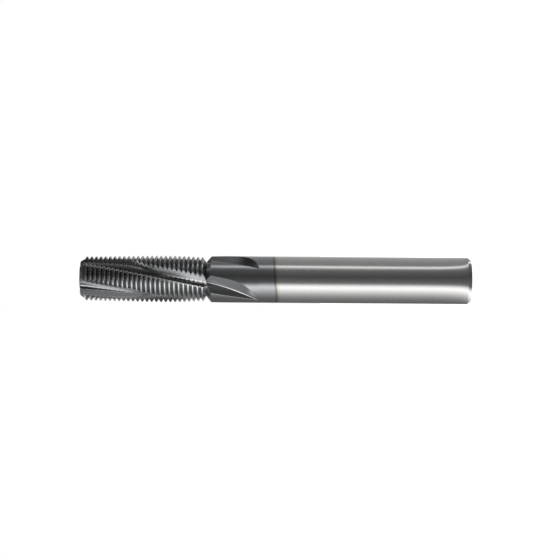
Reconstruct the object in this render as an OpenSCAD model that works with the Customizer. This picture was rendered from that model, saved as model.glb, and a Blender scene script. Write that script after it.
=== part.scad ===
// Solid carbide thread mill: a plain round shank and a fluted cutter with rings of 60 degree teeth.
// It stands on its shank end, with the tool axis on Z and the cutting tip at the top.
// Places along the tool are measured from the tip, and angles round it from a cutting edge.

/* [Overall] */
// Length from the shank end to the cutting tip
overall_length = 84; // [78:1:120]
// Diameter of the shank, a sliding fit in a collet
shank_d = 10; // [9.6:0.1:12]
// Chamfer round the shank end
shank_chamfer = 0.7; // [0.2:0.1:1.2]

/* [Thread form] */
// Diameter over the crests at the cutting edges
cutter_d = 10; // [9.6:0.1:10.6]
// Distance from one ring of teeth to the next
pitch = 1; // [0.8:0.05:1.1]
// Number of full rings of teeth
tooth_rings = 26; // [12:1:28]
// Angle between the two flanks of a tooth
thread_angle = 60; // [55:1:60]
// Width of the flat on each crest
crest_flat = 0.12; // [0.06:0.01:0.2]
// Distance from the tip to the middle of the first full crest
first_crest = 1.3; // [1.2:0.05:2]
// Radius of the flat tip face
tip_r = 3.7; // [3.4:0.05:3.9]
// Diameter of the neck behind the last tooth
neck_d = 7.6; // [7:0.1:7.6]
// Length of the neck between the last tooth's flank and the shoulder
neck_length = 0.05; // [0.05:0.05:1.5]
// Length of the sloping shoulder from the neck up to the shank
shoulder_length = 0.95; // [0.6:0.05:1.5]

/* [Flutes] */
// Number of flutes and of cutting edges
flutes = 4; // [3:1:4]
// Helix angle at the crests
helix_angle = 12; // [6:1:18]
// Angle of the rake face ahead of the radius
rake_angle = 5; // [0:1:10]
// Radius of the solid core under the gullets
core_r = 3.1; // [2.6:0.1:3.3]
// Fillet at the bottom of each gullet
gullet_r = 0.55; // [0.4:0.05:0.7]
// Radius of the flute floor at its edge with the gullet, near the tip
floor_r = 3.9; // [3.8:0.05:4.1]
// How much deeper that edge lies at the neck
floor_sink = 0.5; // [0.3:0.05:0.6]
// Radius that the floor heads for below the heel
foot_r = 3.9; // [3.85:0.05:4]
// Angle from a cutting edge forward to the edge between gullet and floor, near the tip
floor_edge = 22.5; // [18:0.5:26]
// How far that edge turns towards the cutting edge as the flutes narrow
floor_turn = 13; // [6:0.5:15]
// Angle from a cutting edge back to the heel of its land, near the tip
land_width = 45; // [40:1:48]
// The same angle near the neck, where the flutes are narrower
land_width_end = 52; // [48:1:56]
// Drop of the tooth form from the cutting edge to the heel
land_relief = 0.35; // [0.1:0.05:0.4]
// Distance from the tip to the end of the flute run-outs
flute_end = 38.4; // [34:0.2:48]
// Extra turn of the flutes over their run-out
run_turn = 24; // [0:1:30]
// Direction that the run-out floor faces, from the cutting edge at the tip
run_face = 89; // [80:1:95]
// Angle that the run-out wall takes up on the shank
wall_lean = 22.5; // [18:0.5:26]

/* [Hidden] */
$fn = 96;
carbide = [0.44, 0.44, 0.45];

crest_r = cutter_d / 2;
shank_r = shank_d / 2;
neck_r = neck_d / 2;
flank = pitch / 2 - crest_flat / 2;
root_r = crest_r - flank / tan(thread_angle / 2);
teeth_end = first_crest + (tooth_rings - 0.5) * pitch;
neck_start = teeth_end + (root_r - neck_r) * tan(thread_angle / 2);
neck_end = neck_start + neck_length;
shoulder_end = neck_end + shoulder_length;

sector = 360 / flutes;
helix_rate = tan(helix_angle) / crest_r * 180 / PI;
edge_phase = 45;        // angle of the first cutting edge at the tip, from +X
seat = 0.4;             // how far the neck reaches into the cutter
root_sink = 0.2;        // how far the cutter's root lies below the run-out floors
spare = 0.1;            // how far the run-outs start ahead of the neck
overshoot = 0.4;        // how far they go on behind their end, clear of the shank
clear = 0.7;            // how far the run-out form stands outside the shank
fade = 10;              // length over which the gullets die out before the neck
least_reach = 0.15;     // least share of the floor that a groove leaves standing
heel_turn = [0.5, 0.86] * teeth_end;    // where the heels move forward
ridge_turn = [0.6, 0.86] * teeth_end;   // where the gullets narrow
ridge_sink = [0.45, 0.75] * teeth_end;  // where the floors deepen
foot_turn = 4;          // how far ahead of the heel the floor turns up
turn_power = 1.2;       // how the run-outs gather their extra turn
lap = 0.02;             // how far the run-out floors lie below the cutter's
run_r = floor_r - floor_sink - lap;
land_steps = 4;
gullet_steps = 5;
floor_steps = 3;
run_steps = 10;
wall_steps = 3;
run_floor_steps = 4;

function blend(a, b, t) = a + (b - a) * t;
function ramp(from, to, x) = max(0, min(1, (x - from) / (to - from)));
function smooth(from, to, x) = let (t = ramp(from, to, x)) t * t * (3 - 2 * t);
function polar(angle, r) = [r * cos(angle), r * sin(angle)];
function to_polar(p) = [atan2(p[1], p[0]), norm(p)];
function along(a, b, n) = [for (i = [1:n]) blend(a, b, i / n)];

// The path of the flutes: how far their edges have turned and their floors have risen at s from the tip.
function ridge_at(s) = [
    floor_edge - floor_turn * smooth(ridge_turn[0], ridge_turn[1], s)
        - run_turn * pow(ramp(neck_end, flute_end, s), turn_power),
    floor_r - floor_sink * smooth(ridge_sink[0], ridge_sink[1], s)
];
function heel_at(s) = [sector - blend(land_width, land_width_end, smooth(heel_turn[0], heel_turn[1], s)),
    crest_r - land_relief];
function rise(s) = (shank_r - run_r) * pow(max(0, (s - neck_end) / (flute_end - neck_end)), 2);
function place(p, s) = let (a = edge_phase - helix_rate * s + p[0], r = p[1] + rise(s))
    [r * cos(a), r * sin(a), overall_length - s];

// The line of a cutting edge, as [distance from the tip, radius].
first_root = first_crest - pitch / 2;
tip_slope = tan(thread_angle / 2);
tip_s = (root_r - tip_r + first_root / tip_slope) / (1 + 1 / tip_slope);
edge_line = concat(
    [[0, tip_r], [tip_s, tip_r + tip_s], [first_root, root_r]],
    [for (ring = [0:tooth_rings - 1]) let (s = first_crest + ring * pitch) each [
        [s - crest_flat / 2, crest_r],
        [s + crest_flat / 2, crest_r],
        [s + pitch / 2, root_r]
    ]]
);

// One flute in section, with its cutting edge on +X and the flute opening towards +Y.
// The gullet circle touches the rake face and the core.
edge_x = crest_r * cos(rake_angle);
gullet_k = pow(gullet_r, 2) + pow(crest_r, 2) - 2 * gullet_r * crest_r * sin(rake_angle);
gullet_t = edge_x - sqrt(pow(edge_x, 2) - gullet_k + pow(core_r + gullet_r, 2));
gullet_c = [crest_r - gullet_t * cos(rake_angle) - gullet_r * sin(rake_angle),
            gullet_r * cos(rake_angle) - gullet_t * sin(rake_angle)];
to_ridge = to_polar(polar(floor_edge, floor_r) - gullet_c);
gullet_to = to_ridge[0] + acos(gullet_r / to_ridge[1]);
gullet = [for (a = concat([270 + rake_angle], along(270 + rake_angle, gullet_to, gullet_steps)))
    to_polar(gullet_c + polar(a, gullet_r))];

function rake_at(r) = rake_angle - asin(crest_r * sin(rake_angle) / r);

// The floor curves up from the ridge to the heel, through polar points.
function curve(a, b, c, t) = blend(blend(a, b, t), blend(b, c, t), t);
function reach(a, b, c, r) = let (bend = a - 2 * b + c, rise = b - a)
    max(least_reach, (sqrt(max(0, rise * rise + bend * (r - a))) - rise) / bend);

function cutter_sector(s, r) = let (
    ridge = ridge_at(s),
    heel = heel_at(s),
    foot = [heel[0] - foot_turn, foot_r],
    depth = (ridge[1] - core_r) / (floor_r - core_r),
    squeeze = ridge[0] / floor_edge,
    dying = smooth(teeth_end - fade, teeth_end - seat, s),
    top = [rake_at(r), r],
    corner = [rake_at(ridge[1]), ridge[1]],
    wall = [for (i = [0:gullet_steps]) blend(
        [gullet[i][0] * squeeze, blend(core_r, gullet[i][1], depth)],
        blend(corner, ridge, i / (gullet_steps + 1)), dying)],
    end = reach(ridge[1], foot[1], heel[1], r - land_relief),
    floor = [for (t = along(0, end, floor_steps)) curve(ridge, foot, heel, t)],
    back = floor[floor_steps - 1],
    land = [for (i = [1:land_steps - 1]) blend(back, [sector + top[0], r], i / land_steps)]
) concat([top], wall, [ridge], floor, land);

function around(form, s) = [for (i = [0:flutes - 1], p = form) place([p[0] + i * sector, p[1]], s)];

// Behind the last tooth the form closes in to a round root inside the neck.
root_end = neck_start + (neck_r - run_r + root_sink) * tan(thread_angle / 2);
cutter_root = [for (p = cutter_sector(teeth_end, root_r)) [p[0], run_r - root_sink]];

// Skin of a body through rings of points, each ring running the same way round, from the top down.
module loft(rings, clockwise) {
    n = len(rings[0]);
    last = len(rings) - 1;
    sides = [for (k = [0:last - 1], i = [0:n - 1]) let (j = (i + 1) % n, a = k * n, b = a + n)
        each [[a + j, a + i, b + i], [a + j, b + i, b + j]]];
    caps = [[for (i = [0:n - 1]) i], [for (i = [n - 1:-1:0]) last * n + i]];
    faces = [for (f = concat(sides, caps)) clockwise ? f : [for (i = [len(f) - 1:-1:0]) f[i]]];
    polyhedron(points = [for (ring = rings, p = ring) p], faces = faces, convexity = 10);
}

module cutter() {
    teeth = [for (p = edge_line) around(cutter_sector(p[0], p[1]), p[0])];
    loft(concat(teeth, [around(cutter_root, root_end)]), false);
}

// The run-out of one flute: a slanted wall on the rake side and a flat floor, lifting out of the shank.
function run_form(s) = let (
    ridge_a = ridge_at(s)[0],
    top = crest_r + clear,
    wide = wall_lean * (top - run_r) / (crest_r - run_r),
    slope = max(0, ridge_a - helix_rate * s + run_face),
    tilt = tan(slope),
    floor_a = acos(run_r * cos(slope) / top) - slope
) concat(
    [for (i = [wall_steps:-1:0]) let (t = i / wall_steps) [ridge_a - wide * t, blend(run_r, top, t)]],
    [for (b = along(0, floor_a, run_floor_steps)) [ridge_a + b, run_r / (cos(b) - sin(b) * tilt)]],
    [for (t = [0.75, 0.5, 0.25]) [blend(ridge_a - wide, ridge_a + floor_a, t), top + clear / 2]]
);

module run_out() {
    from = teeth_end - seat - spare;
    places = concat([from], along(from, flute_end + overshoot, run_steps));
    loft([for (s = places) [for (p = run_form(s)) place(p, s)]], true);
}

module shank() {
    outline = [
        [0, 0], [shank_r - shank_chamfer, 0], [shank_r, shank_chamfer],
        [shank_r, overall_length - shoulder_end], [neck_r, overall_length - neck_end],
        [neck_r, overall_length - teeth_end + seat], [0, overall_length - teeth_end + seat]
    ];
    difference() {
        rotate_extrude() polygon(outline);
        for (i = [0:flutes - 1]) rotate([0, 0, i * sector]) run_out();
    }
}

module thread_mill() {
    color(carbide) union() {
        shank();
        cutter();
    }
}

thread_mill();
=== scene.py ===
"""A solid carbide thread mill standing on its shank end, on a white studio stage."""

import math

import bmesh
import bpy
from bpy.props import FloatProperty, FloatVectorProperty, IntProperty, PointerProperty
from bpy.types import Operator, Panel, PropertyGroup
from mathutils import Matrix, Vector


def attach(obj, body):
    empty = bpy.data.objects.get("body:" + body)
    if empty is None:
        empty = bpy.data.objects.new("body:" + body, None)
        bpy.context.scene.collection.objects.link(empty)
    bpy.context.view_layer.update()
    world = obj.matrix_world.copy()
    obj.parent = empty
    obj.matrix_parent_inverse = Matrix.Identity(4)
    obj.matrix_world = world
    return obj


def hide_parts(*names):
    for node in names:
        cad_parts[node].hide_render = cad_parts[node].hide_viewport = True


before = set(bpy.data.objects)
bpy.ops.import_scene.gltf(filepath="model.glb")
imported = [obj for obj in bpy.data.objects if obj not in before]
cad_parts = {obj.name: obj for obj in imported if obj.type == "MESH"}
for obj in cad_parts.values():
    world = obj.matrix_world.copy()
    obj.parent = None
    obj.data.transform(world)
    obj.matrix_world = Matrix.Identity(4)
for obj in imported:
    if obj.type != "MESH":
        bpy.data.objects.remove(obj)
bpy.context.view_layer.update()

bl_info = {
    "name": "Thread Mill",
    "version": (1, 0, 0),
    "blender": (4, 5, 0),
    "location": "3D View > Sidebar > Thread Mill",
    "description": "Builds a coated solid carbide thread mill and the stage it stands on",
    "category": "Object",
}

MM = 0.001
TAU = 2 * math.pi


def length(name, description, millimetres):
    """A length property, given in millimetres and held in metres."""
    return FloatProperty(
        name=name, description=description, default=millimetres * MM, unit="LENGTH", precision=5
    )


def angle(name, description, degrees):
    """An angle property, given in degrees and held in radians."""
    radians = math.radians(degrees)
    return FloatProperty(
        name=name, description=description, default=radians, unit="ROTATION", subtype="ANGLE"
    )


def share(name, description, value):
    """A property from 0 to 1."""
    return FloatProperty(
        name=name,
        description=description,
        default=value,
        min=0,
        max=1,
        subtype="FACTOR",
        precision=3,
    )


def number(name, description, value):
    """A plain number property."""
    return FloatProperty(name=name, description=description, default=value, precision=3)


def count(name, description, value):
    """A whole number property."""
    return IntProperty(name=name, description=description, default=value, min=1)


def colour(name, description, value):
    """A linear colour property."""
    return FloatVectorProperty(
        name=name, description=description, default=value, size=3, subtype="COLOR", min=0, max=1
    )


class ThreadMillOutline(PropertyGroup):
    """Sizes of the tool seen from the side."""

    overall_length: length("Overall length", "From the shank end to the tip", 84)
    shank_radius: length("Shank radius", "Radius of the plain shank", 5)
    shank_chamfer: length("Shank chamfer", "Width of the chamfer round the shank end", 0.7)
    edge_round: length("Edge round", "How far from a turned corner its rounding starts", 0.18)
    crest_radius: length("Crest radius", "Radius of the crests at the cutting edges", 5)
    pitch: length("Pitch", "From one ring of teeth to the next", 1)
    tooth_rings: count("Tooth rings", "Number of full rings of teeth", 26)
    thread_angle: angle("Thread angle", "Angle between the two flanks of a tooth", 60)
    crest_flat: length("Crest flat", "Width of the flat on each crest", 0.24)
    first_crest: length("First crest", "From the tip to the middle of the first crest", 1.3)
    tip_radius: length("Tip radius", "Radius of the flat tip face", 3.7)
    neck_radius: length("Neck radius", "Radius of the neck behind the last tooth", 3.8)
    neck_length: length("Neck length", "Length of the neck ahead of the shoulder", 0.05)
    shoulder_length: length("Shoulder length", "Length of the shoulder up to the shank", 0.95)
    run_rows: count("Run-out rows", "Rows of points along the flute run-outs", 36)


class ThreadMillFlutes(PropertyGroup):
    """Form and path of the flutes."""

    flutes: count("Flutes", "Number of flutes and of cutting edges", 4)
    edge_phase: angle("Edge phase", "Angle of the first cutting edge at the tip, from +X", 45)
    helix_angle: angle("Helix angle", "Helix angle at the crests", 12)
    rake_angle: angle("Rake angle", "Angle of the rake face ahead of the radius", 5)
    core_radius: length("Core radius", "Radius of the core under the gullets", 3.1)
    gullet_radius: length("Gullet radius", "Fillet at the bottom of each gullet", 0.15)
    floor_radius: length("Floor radius", "Radius of the floor at its ridge, near the tip", 3.9)
    floor_sink: length("Floor sink", "How much deeper the ridge lies at the neck", 0.5)
    sink_start: share("Sink start", "Where the ridge starts to sink, along the teeth", 0.38)
    sink_end: share("Sink end", "Where the ridge is at its deepest, along the teeth", 0.58)
    floor_edge: angle("Floor edge", "From a cutting edge forward to the ridge, near the tip", 22.5)
    floor_turn: angle("Floor turn", "How far the ridge turns back as the gullets narrow", 13)
    ridge_start: share("Ridge start", "Where the gullets start to narrow, along the teeth", 0.6)
    ridge_end: share("Ridge end", "Where the gullets have narrowed, along the teeth", 0.86)
    land_width: angle("Land width", "From a cutting edge back to its heel, near the tip", 45)
    land_width_end: angle("Land width at the neck", "The same, where the flutes are narrower", 55)
    heel_start: share("Heel start", "Where the lands start to widen, along the teeth", 0.4)
    heel_end: share("Heel end", "Where the lands have widened, along the teeth", 0.62)
    land_relief: length("Land relief", "Drop of the teeth from edge to heel", 0.35)
    foot_turn: angle("Foot turn", "How far ahead of the heel the floor starts to climb", 4)
    foot_radius: length("Foot radius", "Radius that the floor heads for below the heel", 3.4)
    foot_sink: length("Foot sink", "How much lower that is near the neck, or higher below 0", -0.32)
    fade: length("Fade", "How far ahead of the last groove the gullets start to die out", 10)
    seat: length("Seat", "How far ahead of the last groove they have died out", 0.4)
    flute_end: length("Flute end", "From the tip to the end of the run-outs", 38.4)
    run_turn: angle("Run-out turn", "Extra turn of the flutes over their run-out", 24)
    run_face: angle("Run-out face", "Where the run-out floor faces, from the edge at the tip", 89)
    wall_lean: angle("Wall lean", "Angle that the run-out wall takes up on the shank", 22.5)
    ridge_round: share("Ridge round", "Share of the gullet's back that the ridge rounds off", 0.4)
    edge_hone: length("Edge hone", "How far from a cutting edge its rounding starts", 0.11)
    crease_round: share("Crease round", "Share of the run-out wall that the crease takes", 0.16)


class ThreadMillFinish(PropertyGroup):
    """Colours, roughness and painted edge highlights of the carbide and its coat."""

    bare: colour("Bare carbide", "Colour of the ground carbide", (0.56, 0.555, 0.55))
    coat: colour("Coat", "Colour of the thin coat", (0.33, 0.335, 0.345))
    # Near-white colour painted on the cutting edges, ridges, creases and crests as a highlight.
    painted_highlight: colour("Painted edge highlights", "Colour painted on edges, ridges, creases and crests as a highlight", (0.92, 0.92, 0.91))
    rim: colour("Coat edge", "Dark line where the coat ends", (0.12, 0.12, 0.12))
    straw: colour("Heat tint", "Tint on the carbide next to the coat", (0.5, 0.45, 0.38))
    coat_length: length("Coat length", "From the tip to the end of the coat", 41.9)
    coat_slant: length("Coat slant", "How much further the coat reaches on one side", 0.35)
    rim_width: length("Coat edge width", "Width of the dark line", 0.45)
    straw_width: length("Heat tint width", "Width of the tinted band", 0.9)
    bare_roughness: share("Bare roughness", "Roughness of the ground carbide", 0.2)
    coat_roughness: share("Coat roughness", "Roughness of the coat on the shank", 0.21)
    tooth_roughness: share("Tooth roughness", "Roughness of the coat on the cutter", 0.25)
    highlight_roughness: share("Edge roughness", "Roughness where the edge highlights are painted", 0.6)
    grind_depth: length("Grinding depth", "Depth of the grinding marks", 0.002)


class ThreadMillStage(PropertyGroup):
    """Camera, floor and light."""

    camera_distance: length("Camera distance", "From the tool axis to the camera", 400)
    view_width: length("View width", "Width of the picture at the tool axis", 120.77)
    aim_height: length("Aim height", "Height on the tool at the middle of the picture", 41.1)
    aim_side: length("Aim side", "How far the camera stands to the side of the axis", -0.05)
    camera_roll: angle("Camera roll", "Turn of the camera about its line of sight", -0.4)
    floor_size: length("Floor size", "Width of the floor", 3000)
    card_radius: length("Card radius", "From the tool axis to the ring of reflector cards", 80)
    card_height: length("Card height", "Height of the reflector cards", 260)
    lamp_size: length("Lamp size", "Width of the soft lamp overhead", 400)
    lamp_power: number("Lamp power", "Power of the soft lamp overhead, in watts", 1.6)
    fill: number("Fill", "Strength of the world for diffuse light", 0.5)


class Value:
    """A number in a node tree. Arithmetic on it adds Math nodes."""

    def __init__(self, tree, socket):
        self.tree = tree
        self.socket = socket

    def math(self, operation, *operands):
        node = self.tree.nodes.new("ShaderNodeMath")
        node.operation = operation
        for socket, operand in zip(node.inputs, operands):
            if isinstance(operand, Value):
                self.tree.links.new(operand.socket, socket)
            else:
                socket.default_value = operand
        return Value(self.tree, node.outputs[0])

    def __add__(self, other):
        return self.math("ADD", self, other)

    def __radd__(self, other):
        return self.math("ADD", other, self)

    def __sub__(self, other):
        return self.math("SUBTRACT", self, other)

    def __rsub__(self, other):
        return self.math("SUBTRACT", other, self)

    def __mul__(self, other):
        return self.math("MULTIPLY", self, other)

    def __rmul__(self, other):
        return self.math("MULTIPLY", other, self)

    def __truediv__(self, other):
        return self.math("DIVIDE", self, other)

    def __rtruediv__(self, other):
        return self.math("DIVIDE", other, self)

    def __pow__(self, other):
        return self.math("POWER", self, other)

    def __mod__(self, other):
        return self.math("FLOORED_MODULO", self, other)

    def __gt__(self, other):
        return self.math("GREATER_THAN", self, other)

    def __lt__(self, other):
        return self.math("LESS_THAN", self, other)

    def sin(self):
        return self.math("SINE", self)

    def cos(self):
        return self.math("COSINE", self)

    def tan(self):
        return self.math("TANGENT", self)

    def asin(self):
        return self.math("ARCSINE", self)

    def acos(self):
        return self.math("ARCCOSINE", self)

    def atan2(self, x):
        return self.math("ARCTAN2", self, x)

    def sqrt(self):
        return self.math("SQRT", self)

    def floor(self):
        return self.math("FLOOR", self)

    def round(self):
        return self.math("ROUND", self)

    def least(self, other):
        return self.math("MINIMUM", self, other)

    def most(self, other):
        return self.math("MAXIMUM", self, other)

    def ramp(self, start, end):
        """0 at start, 1 at end, straight between them."""
        return ((self - start) / (end - start)).most(0).least(1)

    def ease(self, start, end):
        """0 at start, 1 at end, with a smooth start and end."""
        t = self.ramp(start, end)
        return t * t * (3 - 2 * t)

    def band(self, start, full, fall, end):
        """1 from full to fall, with a smooth way up from start and down to end."""
        return self.ease(start, full) * (1 - self.ease(fall, end))


def mix(a, b, t):
    """a at t 0 and b at t 1."""
    return a + (b - a) * t


def bezier(a, b, c, t):
    """a at t 0 and c at t 1, heading for b at both."""
    return mix(mix(a, b, t), mix(b, c, t), t)


class Graph:
    """A node tree that is written as code."""

    def __init__(self, tree):
        self.tree = tree

    def feed(self, socket, value):
        """Link a value or an output to a socket, or set a plain number or colour."""
        if isinstance(value, Value):
            value = value.socket
        if isinstance(value, bpy.types.NodeSocket):
            self.tree.links.new(value, socket)
        else:
            socket.default_value = value

    def add(self, kind, settings=None, sockets=None):
        """A node of any kind, with its settings and what goes into its sockets."""
        node = self.tree.nodes.new(kind)
        for name, value in (settings or {}).items():
            setattr(node, name, value)
        for key, value in (sockets or {}).items():
            self.feed(node.inputs[key], value)
        return node

    def value(self, socket):
        return Value(self.tree, socket)

    def split(self, vector):
        """A vector's three numbers."""
        node = self.add("ShaderNodeSeparateXYZ", sockets={0: vector})
        return [self.value(socket) for socket in node.outputs]

    def join(self, x, y, z):
        return self.add("ShaderNodeCombineXYZ", sockets={0: x, 1: y, 2: z}).outputs[0]

    def mix_colour(self, factor, a, b):
        node = self.add("ShaderNodeMix", {"data_type": "RGBA"}, {0: factor, 6: a, 7: b})
        return node.outputs[2]

    def noise(self, vector, scale, detail):
        """Noise from 0 to 1."""
        sockets = {"Vector": vector, "Scale": scale, "Detail": detail}
        return self.value(self.add("ShaderNodeTexNoise", None, sockets).outputs[0])


def rgba(value):
    """A colour with its alpha."""
    return (*value, 1.0)


# Columns of points across one flute and its land, from cutting edge to cutting edge.
COLUMNS = {"edge": 4, "wall": 5, "gullet": 10, "back": 4, "bend": 6, "floor": 9, "land": 18}
SHOULDER_ROWS = 8
ROUND_STEPS = 4

# Form of the flutes.
BEND_SHARE = 0.1  # share of the floor that the rounded ridge takes
LEAST_REACH = 0.15  # least share of the floor that a groove leaves standing
HONE_LIMIT = 0.5  # most of a rake face that its honed edge takes
TURN_POWER = 1.2  # how the run-outs gather their extra turn
TILT_EASE = 0.02  # how gently the run-out floors stop tilting, in square radians
WALL_STEEPENS = 0.6  # share of its lean that a run-out wall loses by its end
BROW_HONE = 0.4  # hone on top of a run-out wall, as a share of a cutting edge's
BROW_LIMIT = 0.3  # most of a run-out wall that this hone takes

# Share of painted highlight on the coat, where the cutting edges have 1.
RIDGE_HIGHLIGHT = 0.8
CREST_HIGHLIGHT = 0.35
EDGE_COLUMNS = 1.5  # columns of the land that a cutting edge's painted highlight reaches over

HAIR = 0.01 * MM  # a depth too small to count
PAST_NECK = 0.001 * MM  # how far behind the neck's start the run-out form takes over
WELD = 0.0005 * MM  # points nearer than this become one
SHARP_ANGLE = math.radians(28)


class Places:
    """Places along the tool that follow from its sizes."""

    def __init__(self, outline, flutes):
        self.slope = math.tan(outline.thread_angle / 2)
        groove = (outline.pitch - outline.crest_flat) / 2 / self.slope
        self.root_radius = outline.crest_radius - groove
        self.first_root = outline.first_crest - outline.pitch / 2
        climb = self.root_radius - outline.tip_radius + self.first_root / self.slope
        self.tip_end = climb / (1 + 1 / self.slope)
        self.teeth_end = outline.first_crest + (outline.tooth_rings - 0.5) * outline.pitch
        self.neck_start = self.teeth_end + (self.root_radius - outline.neck_radius) * self.slope
        self.neck_end = self.neck_start + outline.neck_length
        self.shoulder_end = self.neck_end + outline.shoulder_length
        self.helix_rate = math.tan(flutes.helix_angle) / outline.crest_radius
        self.sector = TAU / flutes.flutes


def rounded(before, corner, after, reach, steps):
    """Points of a rounded corner, which starts and ends at reach from it."""
    corner = Vector(corner)
    start = corner + (Vector(before) - corner).normalized() * reach
    end = corner + (Vector(after) - corner).normalized() * reach
    turns = [i / steps for i in range(steps + 1)]
    return [tuple(start.lerp(corner, t).lerp(corner.lerp(end, t), t)) for t in turns]


def outline_points(outline, flutes, places):
    """The tool's half outline along a cutting edge, as (distance from the tip, radius)."""
    points = [(0, 0), (0, outline.tip_radius / 2), (0, outline.tip_radius)]
    points.append((places.tip_end, outline.tip_radius + places.tip_end))
    points.append((places.first_root, places.root_radius))
    for ring in range(outline.tooth_rings):
        s = outline.first_crest + ring * outline.pitch
        points.append((s - outline.crest_flat / 2, outline.crest_radius))
        points.append((s + outline.crest_flat / 2, outline.crest_radius))
        points.append((s + outline.pitch / 2, places.root_radius))
    points.append((places.neck_start, outline.neck_radius))
    points.append((places.neck_end, outline.neck_radius))
    neck = Vector((places.neck_end, outline.neck_radius))
    shoulder = Vector((places.shoulder_end, outline.shank_radius))
    for i in range(1, SHOULDER_ROWS + 1):
        points.append(tuple(neck.lerp(shoulder, i / SHOULDER_ROWS)))
    # The rows gather towards the end of the run-outs, where their edges turn most.
    for i in range(1, outline.run_rows + 1):
        t = 1 - (1 - i / outline.run_rows) ** 2
        points.append((mix(places.shoulder_end, flutes.flute_end, t), outline.shank_radius))
    end = outline.overall_length
    shank = (flutes.flute_end, outline.shank_radius)
    bevel = (end - outline.shank_chamfer, outline.shank_radius)
    rim = (end, outline.shank_radius - outline.shank_chamfer)
    centre = (end, 0)
    points += rounded(shank, bevel, rim, outline.edge_round, ROUND_STEPS)
    points += rounded(bevel, rim, centre, outline.edge_round, ROUND_STEPS)
    points.append(centre)
    return points


def gullet_circle(outline, flutes):
    """The gullet fillet's centre, start and end, and the ridge, with the cutting edge on +X."""
    radius = flutes.gullet_radius
    edge = outline.crest_radius
    rake = flutes.rake_angle
    edge_x = edge * math.cos(rake)
    spare = radius**2 + edge**2 - 2 * radius * edge * math.sin(rake)
    t = edge_x - math.sqrt(edge_x**2 - spare + (flutes.core_radius + radius) ** 2)
    centre = Vector((
        edge - t * math.cos(rake) - radius * math.sin(rake),
        radius * math.cos(rake) - t * math.sin(rake),
    ))
    ridge = flutes.floor_radius * Vector((math.cos(flutes.floor_edge), math.sin(flutes.floor_edge)))
    out = ridge - centre
    start = 1.5 * math.pi + rake
    end = math.atan2(out.y, out.x) + math.acos(radius / out.length)
    return centre, start, end, ridge


def flute_inputs(outline, flutes, places):
    """What the fluting tree takes, by the names of its inputs."""
    centre, start, end, ridge = gullet_circle(outline, flutes)
    leave = centre + flutes.gullet_radius * Vector((math.cos(end), math.sin(end)))
    return {
        "Overall length": outline.overall_length,
        "Crest radius": outline.crest_radius,
        "Shank radius": outline.shank_radius,
        "Neck start": places.neck_start,
        "Neck end": places.neck_end,
        "Sector": places.sector,
        "Edge phase": flutes.edge_phase,
        "Helix rate": places.helix_rate,
        "Rake angle": flutes.rake_angle,
        "Gullet radius": flutes.gullet_radius,
        "Gullet centre X": centre.x,
        "Gullet centre Y": centre.y,
        "Gullet start": start,
        "Gullet end": end,
        "Back X": ridge.x - leave.x,
        "Back Y": ridge.y - leave.y,
        "Core radius": flutes.core_radius,
        "Floor radius": flutes.floor_radius,
        "Floor edge": flutes.floor_edge,
        "Floor sink": flutes.floor_sink,
        "Sink start": flutes.sink_start * places.teeth_end,
        "Sink end": flutes.sink_end * places.teeth_end,
        "Foot turn": flutes.foot_turn,
        "Foot radius": flutes.foot_radius,
        "Foot sink": flutes.foot_sink,
        "Floor turn": flutes.floor_turn,
        "Ridge start": flutes.ridge_start * places.teeth_end,
        "Ridge end": flutes.ridge_end * places.teeth_end,
        "Heel angle": places.sector - flutes.land_width,
        "Heel turn": flutes.land_width_end - flutes.land_width,
        "Heel start": flutes.heel_start * places.teeth_end,
        "Heel end": flutes.heel_end * places.teeth_end,
        "Heel radius": outline.crest_radius - flutes.land_relief,
        "Fade start": places.teeth_end - flutes.fade,
        "Fade end": places.teeth_end - flutes.seat,
        "Flute end": flutes.flute_end,
        "Run-out turn": flutes.run_turn,
        "Run-out face": flutes.run_face,
        "Wall lean": flutes.wall_lean,
        "Ridge round": flutes.ridge_round,
        "Edge hone": flutes.edge_hone,
        "Crease round": flutes.crease_round,
    }


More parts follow.
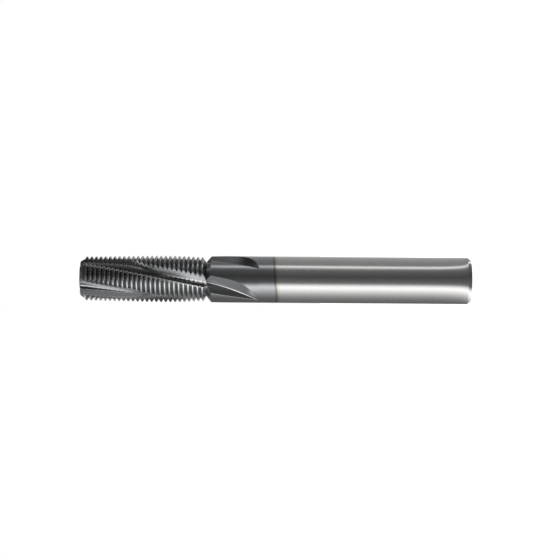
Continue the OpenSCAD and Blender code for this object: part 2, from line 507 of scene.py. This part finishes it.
class Fluting:
    """The fluted tool as fields on a grid: rows along the outline, columns round the axis."""

    def __init__(self, g, size, outline, flutes):
        self.g = g
        self.size = size
        self.lay_grid(outline, flutes)
        self.part_columns()
        self.follow_flutes()

    def lay_grid(self, outline, flutes):
        """The grid, with the place on the outline and in the flute that each point stands for."""
        g = self.g
        per_flute = sum(COLUMNS.values())
        columns = per_flute * flutes
        counted = g.add("GeometryNodeAttributeDomainSize", None, {"Geometry": outline})
        rows = g.value(counted.outputs["Point Count"])
        sockets = {
            "Size X": float(columns),
            "Size Y": rows - 1,
            "Vertices X": columns + 1,
            "Vertices Y": rows,
        }
        self.grid = g.add("GeometryNodeMeshGrid", None, sockets).outputs["Mesh"]
        x, y, _ = g.split(g.add("GeometryNodeInputPosition").outputs[0])
        column = (x + columns / 2).round()
        row = (y + (rows - 1) / 2).round()
        place = g.add("GeometryNodeInputPosition").outputs[0]
        sample = g.add(
            "GeometryNodeSampleIndex",
            {"data_type": "FLOAT_VECTOR", "domain": "POINT"},
            {"Geometry": outline, "Value": place, "Index": row},
        )
        self.s, self.rho, _ = g.split(sample.outputs[0])
        self.station = column % per_flute
        self.flute = (column / per_flute + 0.5 / per_flute).floor()

    def part_columns(self):
        """How far each stretch of the flute is crossed, and whether it has been entered."""
        self.part = {}
        self.passed = {}
        start = 0
        for name, steps in COLUMNS.items():
            self.part[name] = self.station.ramp(start, start + steps)
            self.passed[name] = self.station > start + 0.5
            start += steps

    def follow_flutes(self):
        """What changes along the tool: the flutes' floor, ridge, heel and depth."""
        size = self.size
        s = self.s
        sunk = s.ease(size["Sink start"], size["Sink end"])
        narrowed = s.ease(size["Ridge start"], size["Ridge end"])
        widened = s.ease(size["Heel start"], size["Heel end"])
        self.run = s.ramp(size["Neck end"], size["Flute end"])
        self.low = size["Floor radius"] - size["Floor sink"] * sunk
        ridge = size["Floor edge"] - size["Floor turn"] * narrowed
        self.ridge = ridge - size["Run-out turn"] * self.run**TURN_POWER
        self.heel = size["Heel angle"] - size["Heel turn"] * widened
        self.waist_r = size["Foot radius"] - size["Foot sink"] * widened
        self.dying = s.ease(size["Fade start"], size["Fade end"])
        self.lead = size["Edge hone"] / self.rho.most(MM)
        self.behind = s > size["Neck start"] + PAST_NECK
        self.lift = (size["Shank radius"] - self.low) * self.run**2
        self.reached = self.rho - self.lift
        self.deep = (self.reached - self.low).most(0)

    def choose(self, edge, wall, gullet, bend, floor, land):
        """The value of the stretch of the flute that this column lies in."""
        found = mix(edge, wall, self.passed["wall"])
        found = mix(found, gullet, self.passed["gullet"])
        found = mix(found, bend, self.passed["bend"])
        found = mix(found, floor, self.passed["floor"])
        return mix(found, land, self.passed["land"])

    def rake_at(self, radius):
        """Angle of the rake face at a radius."""
        rake = self.size["Rake angle"]
        return rake - (self.size["Crest radius"] * rake.sin() / radius).asin()

    def gullet_point(self, turn, back):
        """Angle and radius on the gullet: fillet, then straight back, dying out to the floor."""
        size = self.size
        core = size["Core radius"]
        a = mix(size["Gullet start"], size["Gullet end"], turn)
        px = size["Gullet centre X"] + size["Gullet radius"] * a.cos() + size["Back X"] * back
        py = size["Gullet centre Y"] + size["Gullet radius"] * a.sin() + size["Back Y"] * back
        steps = COLUMNS["gullet"] + COLUMNS["back"]
        along = (turn * COLUMNS["gullet"] + back * COLUMNS["back"]) / steps
        squeeze = self.ridge / size["Floor edge"]
        filled = mix(self.rake_at(self.low), self.ridge, along)
        shallow = (self.low - core) / (size["Floor radius"] - core)
        depth = mix(core, (px * px + py * py).sqrt(), shallow)
        around = mix(py.atan2(px) * squeeze, filled, self.dying)
        return around, mix(depth, self.low, self.dying)

    def cutter(self):
        """Angle and radius on the cutter: rake face, gullet, ridge, floor to the heel, land."""
        size = self.size
        part = self.part
        rho = self.rho
        low = self.low
        high = size["Heel radius"]
        ridge = self.ridge
        heel = self.heel
        waist_a = heel - size["Foot turn"]
        waist_r = self.waist_r
        back_end = 1 - size["Ridge round"]
        foot_a, foot_r = self.gullet_point(0, 0)
        gullet_a, gullet_r = self.gullet_point(part["gullet"], part["back"] * back_end)
        last_a, last_r = self.gullet_point(1, back_end)
        drop = low - 2 * waist_r + high
        lean = waist_r - low
        root = lean * lean + drop * (rho - size["Crest radius"] + high - low)
        reach = ((root.most(0).sqrt() - lean) / drop).most(LEAST_REACH)
        across = mix(BEND_SHARE, reach, part["floor"])
        floor_a = bezier(ridge, waist_a, heel, across)
        floor_r = bezier(low, waist_r, high, across)
        first_a = bezier(ridge, waist_a, heel, BEND_SHARE)
        first_r = bezier(low, waist_r, high, BEND_SHARE)
        top_a = self.rake_at(rho)
        hone = (size["Edge hone"] / (rho - foot_r).most(MM)).least(HONE_LIMIT)
        down = mix(hone, 1, part["wall"])
        around = self.choose(
            bezier(top_a - self.lead, top_a, mix(top_a, foot_a, hone), part["edge"]),
            mix(top_a, foot_a, down),
            gullet_a,
            bezier(last_a, ridge, first_a, part["bend"]),
            floor_a,
            mix(floor_a, size["Sector"] + top_a - self.lead, part["land"]),
        )
        radius = self.choose(
            bezier(rho, rho, mix(rho, foot_r, hone), part["edge"]),
            mix(rho, foot_r, down),
            gullet_r,
            bezier(last_r, low, first_r, part["bend"]),
            floor_r,
            mix(floor_r, rho, part["land"]),
        )
        return around, radius

    def run_out(self):
        """Angle and radius behind the neck: slanted wall, crease, flat floor, plain shank."""
        size = self.size
        part = self.part
        low = self.low
        ridge = self.ridge
        reached = self.reached
        deep = self.deep
        cut = deep > 0
        base = reached.least(low)
        spread = size["Wall lean"] / (size["Crest radius"] - low) * (1 - WALL_STEEPENS * self.run)
        facing = ridge - size["Helix rate"] * self.s + size["Run-out face"]
        tilt = (facing + (facing * facing + TILT_EASE).sqrt()) / 2
        floor_turn = ((low * tilt.cos() / reached).acos() - tilt).most(0) * cut

        def floor_at(turn):
            return (low / (turn.cos() - turn.sin() * tilt.tan())).least(reached)

        def wall_at(t):
            return ridge - spread * deep * t, base + deep * t

        worn = (BROW_HONE * size["Edge hone"] / deep.most(HAIR)).least(BROW_LIMIT) * cut
        wall_steps = COLUMNS["wall"] + COLUMNS["gullet"] + COLUMNS["back"]
        sunk = ((self.station - COLUMNS["edge"]) / wall_steps).most(0).least(1)
        wall_a, wall_r = wall_at(mix(1 - worn, size["Crease round"], sunk))
        below_a, below_r = wall_at(1 - worn)
        end_a, end_r = wall_at(size["Crease round"])
        brow_a = ridge - spread * deep
        brow_lead = BROW_HONE * self.lead * cut
        turn = floor_turn * mix(BEND_SHARE, 1, part["floor"])
        bend_turn = floor_turn * BEND_SHARE
        around = self.choose(
            bezier(brow_a - brow_lead, brow_a, below_a, part["edge"]),
            wall_a,
            wall_a,
            bezier(end_a, ridge, ridge + bend_turn, part["bend"]),
            ridge + turn,
            mix(ridge + floor_turn, size["Sector"] + brow_a - brow_lead, part["land"]),
        )
        radius = self.choose(
            bezier(reached, reached, below_r, part["edge"]),
            wall_r,
            wall_r,
            bezier(end_r, base, floor_at(bend_turn), part["bend"]),
            floor_at(turn),
            reached,
        )
        return around, radius + self.lift

    def position(self):
        """Where each point of the grid goes."""
        size = self.size
        cutter_a, cutter_r = self.cutter()
        run_a, run_r = self.run_out()
        around = mix(cutter_a, run_a, self.behind)
        around = around + size["Edge phase"] + self.flute * size["Sector"]
        around = around - size["Helix rate"] * self.s.least(size["Flute end"])
        radius = mix(cutter_r, run_r, self.behind).least(self.rho)
        height = size["Overall length"] - self.s
        return self.g.join(radius * around.cos(), radius * around.sin(), height)

    def painted_highlight(self):
        """How much highlight is painted: full on cutting edges, less on ridges, creases and crests.
        """
        part = self.part
        hone_line = (1 - 2 * part["edge"]).most(0)
        # Full in the middle of the bend and none at its sides.
        ridge_line = 4 * RIDGE_HIGHLIGHT * part["bend"] * (1 - part["bend"])
        land_line = (EDGE_COLUMNS - (1 - part["land"]) * COLUMNS["land"]).most(0).least(1)
        crest_line = CREST_HIGHLIGHT * (self.rho > self.size["Crest radius"] - HAIR)
        land_line = land_line.most(crest_line)
        ahead = 1 - self.behind
        ridge_line = ridge_line * (self.deep > HAIR)
        return self.choose(hone_line * ahead, 0, 0, ridge_line, 0, land_line * ahead)


def fluting_tree(names, flutes, material):
    """Geometry Nodes that turn a half outline about the tool axis and sink the flutes into it."""
    tree = bpy.data.node_groups.new("Fluted turning", "GeometryNodeTree")
    tree.interface.new_socket("Outline", in_out="INPUT", socket_type="NodeSocketGeometry")
    for name in names:
        tree.interface.new_socket(name, in_out="INPUT", socket_type="NodeSocketFloat")
    tree.interface.new_socket("Tool", in_out="OUTPUT", socket_type="NodeSocketGeometry")
    g = Graph(tree)
    given = g.add("NodeGroupInput")
    size = {name: g.value(given.outputs[name]) for name in names}
    form = Fluting(g, size, given.outputs["Outline"], flutes)
    # The painted highlight share is stored first, while the points still lie on the grid.
    lined = g.add(
        "GeometryNodeStoreNamedAttribute",
        {"data_type": "FLOAT", "domain": "POINT"},
        {"Geometry": form.grid, "Name": "painted_highlight", "Value": form.painted_highlight()},
    )
    shape = lined.outputs[0]
    for kind, sockets in (
        ("GeometryNodeSetPosition", {"Position": form.position()}),
        ("GeometryNodeMergeByDistance", {"Distance": WELD}),
        ("GeometryNodeRealizeInstances", {}),
        ("GeometryNodeSetMaterial", {"Material": material}),
    ):
        shape = g.add(kind, None, {"Geometry": shape, **sockets}).outputs[0]
    g.add("NodeGroupOutput", None, {"Tool": shape})
    return tree


def new_material(name):
    """A material with nothing in its tree, and the graph to write it with."""
    material = bpy.data.materials.new(name)
    material.use_nodes = True
    material.node_tree.nodes.clear()
    return material, Graph(material.node_tree)


# Noise on the carbide: its scale across the tool and along it, and its detail.
CLOUDS = (350.0, 3.0)
GRIND_RINGS = (60, 9000, 4.0)
GRIND_LINES = (200, 30000, 2.0)
COAT_WANDER = 0.5 * MM
STRAW_SHARE = 0.8
RIM_SHARE = 0.75
RING_SHADE = (0.94, 0.12)  # least brightness, and what the rings add
RING_ROUGHNESS = 0.08
CLOUD_ROUGHNESS = 0.06
GRIND_STRENGTH = 0.25
TOOTH_FINISH = (26 * MM, 29 * MM)  # from the tip, where it gives way to the shank's


def carbide_material(outline, finish):
    """Ground carbide, with the coat from the tip to a little way up the shank."""
    material, g = new_material("Carbide")
    place = g.add("ShaderNodeTexCoord").outputs["Object"]
    x, y, z = g.split(place)

    def grinding(across, along, detail):
        return g.noise(g.join(x * across, y * across, z * along), 1.0, detail)

    cloud = g.noise(place, *CLOUDS)
    rings = grinding(*GRIND_RINGS)
    lines = grinding(*GRIND_LINES)
    s = outline.overall_length - z + (cloud - 0.5) * COAT_WANDER
    s = s + x * (finish.coat_slant / outline.shank_radius)
    end = finish.coat_length
    width = finish.rim_width
    bare = s.ease(end - width / 2, end + width / 2)
    rim = s.band(end - width, end, end, end + width)
    straw = s.band(end, end + width, end + width, end + finish.straw_width)
    painted_highlight = g.value(g.add("ShaderNodeAttribute", {"attribute_name": "painted_highlight"}).outputs["Fac"])
    tone = g.mix_colour(bare, rgba(finish.coat), rgba(finish.bare))
    tone = g.mix_colour(straw * STRAW_SHARE, tone, rgba(finish.straw))
    tone = g.mix_colour(rim * RIM_SHARE, tone, rgba(finish.rim))
    # Painted highlight: the near-white colour is mixed in along cutting edges, ridges, creases and
    # crests.
    tone = g.mix_colour(painted_highlight, tone, rgba(finish.painted_highlight))
    least, span = RING_SHADE
    sockets = {"Vector": tone, "Scale": least + span * rings}
    tone = g.add("ShaderNodeVectorMath", {"operation": "SCALE"}, sockets).outputs[0]
    coated = mix(finish.tooth_roughness, finish.coat_roughness, s.ease(*TOOTH_FINISH))
    coated = mix(coated, finish.highlight_roughness, painted_highlight.ramp(RIDGE_HIGHLIGHT, 1))
    rough = mix(coated, finish.bare_roughness, bare)
    rough = rough + (rings - 0.5) * RING_ROUGHNESS + (cloud - 0.5) * CLOUD_ROUGHNESS
    sockets = {"Strength": GRIND_STRENGTH, "Distance": finish.grind_depth, "Height": lines}
    bump = g.add("ShaderNodeBump", None, sockets)
    surface = g.add(
        "ShaderNodeBsdfPrincipled",
        None,
        {"Base Color": tone, "Metallic": 1.0, "Roughness": rough, "Normal": bump.outputs[0]},
    )
    g.add("ShaderNodeOutputMaterial", None, {"Surface": surface.outputs[0]})
    return material


def new_object(name, data):
    """An object in the scene."""
    piece = bpy.data.objects.new(name, data)
    bpy.context.scene.collection.objects.link(piece)
    return piece


def fluted_mesh(context, outline, flutes, material):
    """The tool's mesh: its half outline, turned and fluted by Geometry Nodes."""
    places = Places(outline, flutes)
    points = outline_points(outline, flutes, places)
    line = bpy.data.meshes.new("Half outline")
    steps = [(i, i + 1) for i in range(len(points) - 1)]
    line.from_pydata([(s, r, 0) for s, r in points], steps, [])
    blank = new_object("Blank", line)
    inputs = flute_inputs(outline, flutes, places)
    tree = fluting_tree(list(inputs), flutes.flutes, material)
    modifier = blank.modifiers.new("Fluting", "NODES")
    modifier.node_group = tree
    for item in tree.interface.items_tree:
        if item.name in inputs:
            modifier[item.identifier] = inputs[item.name]
    depsgraph = context.evaluated_depsgraph_get()
    mesh = bpy.data.meshes.new_from_object(blank.evaluated_get(depsgraph))
    bpy.data.objects.remove(blank)
    mesh.name = "Thread mill"
    return mesh


def close_skin(mesh):
    """Clear faces without area, turn the skin outwards and make sure that it is closed."""
    work = bmesh.new()
    work.from_mesh(mesh)
    bmesh.ops.dissolve_degenerate(work, edges=work.edges, dist=WELD)
    if work.calc_volume(signed=True) < 0:
        bmesh.ops.reverse_faces(work, faces=work.faces)
    open_edges = [edge for edge in work.edges if not edge.is_manifold]
    work.to_mesh(mesh)
    work.free()
    if open_edges:
        raise RuntimeError(f"the tool's skin has {len(open_edges)} open edges")


class OBJECT_OT_thread_mill(Operator):
    """Build the thread mill"""

    bl_idname = "object.thread_mill_build"
    bl_label = "Build Thread Mill"
    bl_options = {"REGISTER", "UNDO"}

    def execute(self, context):
        scene = context.scene
        outline = scene.thread_mill_outline
        material = carbide_material(outline, scene.thread_mill_finish)
        mesh = fluted_mesh(context, outline, scene.thread_mill_flutes, material)
        close_skin(mesh)
        mesh.shade_smooth()
        mesh.set_sharp_from_angle(angle=SHARP_ANGLE)
        tool = new_object("thread_mill_body", mesh)
        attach(tool, "root")
        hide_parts("thread_mill")
        return {"FINISHED"}


# What the ring of cards shows to the metal: direction from the camera, towards the picture's
# lower side, in degrees, and its level.
CARD_LEVELS = (
    (-180, 1.3),
    (-171, 1.2),
    (-165, 0.6),
    (-143, 0.56),
    (-110, 0.42),
    (-72, 0.27),
    (-68, 1.5),
    (-62, 1.5),
    (-57, 0.3),
    (-46, 0.18),
    (-15, 0.09),
    (8, 0.17),
    (18, 0.25),
    (29, 1.4),
    (36, 1.9),
    (42, 1.85),
    (51, 1.5),
    (62, 1.08),
    (74, 0.76),
    (87, 0.5),
    (102, 0.34),
    (119, 0.24),
    (155, 0.17),
    (165, 0.25),
    (171, 1.2),
    (180, 1.3),
)
CARD_GAIN = 2.0
LID_LEVEL = 0.5
CARD_SEGMENTS = 120
CARD_GAP = 0.05 * MM  # between the floor and the cards
LID_DEPTH = 1 * MM  # what is this near the top of the cards is their lid

# The cards grow dark towards their top. Pairs are where something starts and is full.
TOP_FADE = 0.75
TOP_RISE = (78 * MM, 94 * MM)
LOWER_TURN = (40, 54)  # where the fade ends on the lower side, in degrees
UPPER_FADE = 0.9
UPPER_SIDE = (-10 * MM, 10 * MM)
BACK_RISE = (68 * MM, 80 * MM)
BACK_ZONE = (0.95, 0.98)  # share of the radius behind the tool
BACK_LEAD = 1 * MM  # how much lower the upper fade starts, behind and in front
FRONT_LEAD = 20 * MM
FRONT_ZONE = (-0.3, 0.1)  # share of the radius in front of the tool

# Single cards on the ring. Fours are where one starts, is full, starts to end and has ended,
# as degrees, heights or shares of the radius.
HIGH_DARK = 0.05
HIGH_LIGHT = 1.5
HIGH_RISE = (115 * MM, 130 * MM)
HIGH_TOP = (200 * MM, 215 * MM)
HIGH_SIDE = (0.03, 0.15, 0.4, 0.5)
LOW_LIGHT = 1.2
LOW_TURN = (100, 108, 137, 145)
LOW_HEIGHT = (72 * MM, 80 * MM, 86 * MM, 92 * MM)
SIDE_DIM = 0.5
SIDE_TURN = (64, 76, 116, 126)
SIDE_HEIGHT = (56 * MM, 60 * MM, 66 * MM, 72 * MM)

FLOOR_COLOUR = (0.8, 0.8, 0.8, 1)
FLOOR_GLOW = 0.86
WHITE = (1, 1, 1, 1)
LAMP_PLACE = (0.25, -0.35, 0.6)
SENSOR_WIDTH = 36
CLIP_START = 0.01


def white_share(g, level):
    """level for rays that show the background: camera, glossy and transmission rays."""
    light = g.add("ShaderNodeLightPath")
    shown = g.value(light.outputs["Is Camera Ray"])
    shown = shown.most(g.value(light.outputs["Is Glossy Ray"]))
    shown = shown.most(g.value(light.outputs["Is Transmission Ray"]))
    return shown * level


def floor_material():
    """A white floor that runs into the background."""
    material, g = new_material("Floor")
    diffuse = g.add("ShaderNodeBsdfDiffuse", None, {"Color": FLOOR_COLOUR})
    sockets = {"Color": WHITE, "Strength": white_share(g, FLOOR_GLOW)}
    glow = g.add("ShaderNodeEmission", None, sockets)
    both = g.add("ShaderNodeAddShader", None, {0: diffuse.outputs[0], 1: glow.outputs[0]})
    g.add("ShaderNodeOutputMaterial", None, {"Surface": both.outputs[0]})
    return material


def ring_place(degrees):
    """A direction as a place on the ring of cards, from 0 to 1."""
    return degrees / 360 + 0.5


def card_ramp(g, turn):
    """The cards' levels round the ring, as shares of the gain."""
    ramp = g.add("ShaderNodeValToRGB", None, {"Fac": turn})
    stops = ramp.color_ramp.elements
    for i, (degrees, level) in enumerate(CARD_LEVELS):
        place = ring_place(degrees)
        if i < len(stops):
            stop = stops[i]
            stop.position = place
        else:
            stop = stops.new(place)
        stop.color = rgba([level / CARD_GAIN] * 3)
    return g.value(ramp.outputs[0])


def card_material(lid_height):
    """What the ring of cards shows to the metal, round the ring and up its height."""
    material, g = new_material("Reflector cards")
    x, y, z = g.split(g.add("ShaderNodeTexCoord").outputs["Object"])
    radius = (x * x + y * y).sqrt()
    turn = (-1 * x).atan2(-1 * y) / TAU + 0.5
    lid = z > lid_height
    upper = x.ease(*UPPER_SIDE)
    lead = mix(BACK_LEAD, FRONT_LEAD, (-1 * y / radius).ease(*FRONT_ZONE))
    lower_fade = TOP_FADE * (1 - turn.ease(*map(ring_place, LOWER_TURN)))
    fade = mix(lower_fade, UPPER_FADE, upper) * (z + lead * upper).ease(*TOP_RISE)
    back_fade = UPPER_FADE * z.ease(*BACK_RISE) * upper
    fade = mix(fade, back_fade, (y / radius).ease(*BACK_ZONE))
    level = card_ramp(g, turn) * (mix(CARD_GAIN, LID_LEVEL, lid) * (1 - fade))
    high = mix(HIGH_DARK, HIGH_LIGHT, (-1 * x / radius).band(*HIGH_SIDE))
    high = mix(high, HIGH_DARK, z.ease(*HIGH_TOP))
    level = mix(level, high, z.ease(*HIGH_RISE) * (1 - lid))
    low_card = turn.band(*map(ring_place, LOW_TURN)) * z.band(*LOW_HEIGHT)
    level = level + LOW_LIGHT * low_card
    side_card = turn.band(*map(ring_place, SIDE_TURN)) * z.band(*SIDE_HEIGHT)
    level = level * (1 - SIDE_DIM * side_card)
    glow = g.add("ShaderNodeEmission", None, {"Color": level, "Strength": 1})
    g.add("ShaderNodeOutputMaterial", None, {"Surface": glow.outputs[0]})
    return material


class OBJECT_OT_thread_mill_stage(Operator):
    """Set the floor, the light and the camera"""

    bl_idname = "object.thread_mill_stage"
    bl_label = "Set Stage"
    bl_options = {"REGISTER", "UNDO"}

    def execute(self, context):
        scene = context.scene
        stage = scene.thread_mill_stage
        self.floor(stage)
        self.cards(stage)
        self.world(scene, stage)
        self.lamp(stage)
        self.camera(scene, stage)
        scene.view_settings.view_transform = "Standard"
        return {"FINISHED"}

    def floor(self, stage):
        """A wide flat floor."""
        half = stage.floor_size / 2
        mesh = bpy.data.meshes.new("Floor")
        corners = [(-half, -half, 0), (half, -half, 0), (half, half, 0), (-half, half, 0)]
        mesh.from_pydata(corners, [], [(0, 1, 2, 3)])
        mesh.materials.append(floor_material())
        new_object("floor", mesh)

    def cards(self, stage):
        """A closed ring of cards that only reflections show."""
        work = bmesh.new()
        bmesh.ops.create_cone(
            work,
            cap_ends=True,
            segments=CARD_SEGMENTS,
            radius1=stage.card_radius,
            radius2=stage.card_radius,
            depth=stage.card_height,
            matrix=Matrix.Translation((0, 0, stage.card_height / 2 + CARD_GAP)),
        )
        mesh = bpy.data.meshes.new("Reflector cards")
        work.to_mesh(mesh)
        work.free()
        mesh.materials.append(card_material(stage.card_height - LID_DEPTH))
        ring = new_object("reflector_cards", mesh)
        ring.visible_camera = False
        ring.visible_diffuse = False
        ring.visible_shadow = False
        ring.visible_transmission = False
        ring.visible_volume_scatter = False

    def world(self, scene, stage):
        """A white background that lights less than it shows."""
        world = bpy.data.worlds.new("Studio")
        scene.world = world
        world.use_nodes = True
        world.node_tree.nodes.clear()
        g = Graph(world.node_tree)
        strength = white_share(g, 1 - stage.fill) + stage.fill
        sky = g.add("ShaderNodeBackground", None, {"Color": WHITE, "Strength": strength})
        g.add("ShaderNodeOutputWorld", None, {"Surface": sky.outputs[0]})

    def lamp(self, stage):
        """A soft lamp overhead, aimed at the foot of the tool."""
        light = bpy.data.lights.new("Overhead lamp", "AREA")
        light.energy = stage.lamp_power
        light.size = stage.lamp_size
        lamp = new_object("overhead_lamp", light)
        lamp.location = LAMP_PLACE
        lamp.rotation_euler = (-lamp.location).to_track_quat("-Z", "Y").to_euler()

    def camera(self, scene, stage):
        """A camera that sees the tool on its side, with the tip to the left."""
        lens = bpy.data.cameras.new("Camera")
        lens.sensor_width = SENSOR_WIDTH
        lens.lens = lens.sensor_width * stage.camera_distance / stage.view_width
        lens.clip_start = CLIP_START
        camera = new_object("camera", lens)
        roll = stage.camera_roll
        right = Vector((-math.sin(roll), 0, -math.cos(roll)))
        up = Vector((math.cos(roll), 0, -math.sin(roll)))
        turn = Matrix((right, up, right.cross(up))).transposed()
        place = Vector((stage.aim_side, -stage.camera_distance, stage.aim_height))
        camera.matrix_world = Matrix.Translation(place) @ turn.to_4x4()
        scene.camera = camera


class VIEW3D_PT_thread_mill(Panel):
    """Sizes, finish and stage of the thread mill"""

    bl_label = "Thread Mill"
    bl_space_type = "VIEW_3D"
    bl_region_type = "UI"
    bl_category = "Thread Mill"

    def draw(self, context):
        scene = context.scene
        for operator in (OBJECT_OT_thread_mill, OBJECT_OT_thread_mill_stage):
            self.layout.operator(operator.bl_idname)
        for name in GROUPS:
            box = self.layout.box()
            group = getattr(scene, name)
            box.label(text=group.bl_rna.description)
            for key in group.__annotations__:
                box.prop(group, key)


GROUPS = {
    "thread_mill_outline": ThreadMillOutline,
    "thread_mill_flutes": ThreadMillFlutes,
    "thread_mill_finish": ThreadMillFinish,
    "thread_mill_stage": ThreadMillStage,
}
CLASSES = (
    *GROUPS.values(),
    OBJECT_OT_thread_mill,
    OBJECT_OT_thread_mill_stage,
    VIEW3D_PT_thread_mill,
)


def register():
    for cls in CLASSES:
        bpy.utils.register_class(cls)
    for name, group in GROUPS.items():
        setattr(bpy.types.Scene, name, PointerProperty(type=group))


def unregister():
    for name in GROUPS:
        delattr(bpy.types.Scene, name)
    for cls in reversed(CLASSES):
        bpy.utils.unregister_class(cls)


def main():
    register()
    bpy.ops.object.thread_mill_build()
    bpy.ops.object.thread_mill_stage()


if __name__ == "__main__":
    main()
